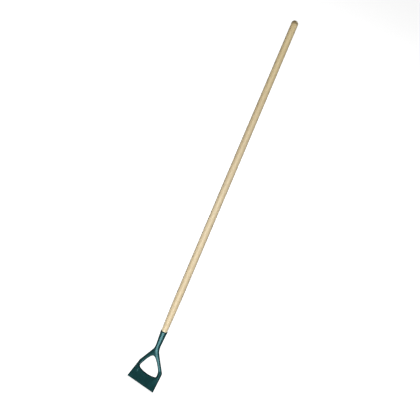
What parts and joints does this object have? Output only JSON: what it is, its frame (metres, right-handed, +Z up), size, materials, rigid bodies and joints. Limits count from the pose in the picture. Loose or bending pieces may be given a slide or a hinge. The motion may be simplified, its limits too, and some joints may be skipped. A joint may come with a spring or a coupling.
{
  "type": "dutch hoe",
  "caption": "Push hoe for weeding: a pressed steel head with a flat straight-edged blade on a forked socket, fixed to a long straight ash handle.",
  "frame": {"origin": "on the handle's axis, in the middle of the cylindrical stretch that a hand or a tool clip holds", "axes": "+Z up the handle's axis with the blade at the bottom; the seamless front of the head faces -Y; +X to the right as seen from the front"},
  "size_m": [0.129, 0.0287, 1.5371],
  "materials": {
    "painted_steel": "dark blue-green stoved enamel, semi-gloss",
    "ash": "turned and sanded ash, clear satin lacquer",
    "plated_steel": "zinc plated"
  },
  "bodies": {
    "root": {"head": "painted_steel", "handle": "ash", "socket_screw": "plated_steel"}
  },
  "joints": []
}
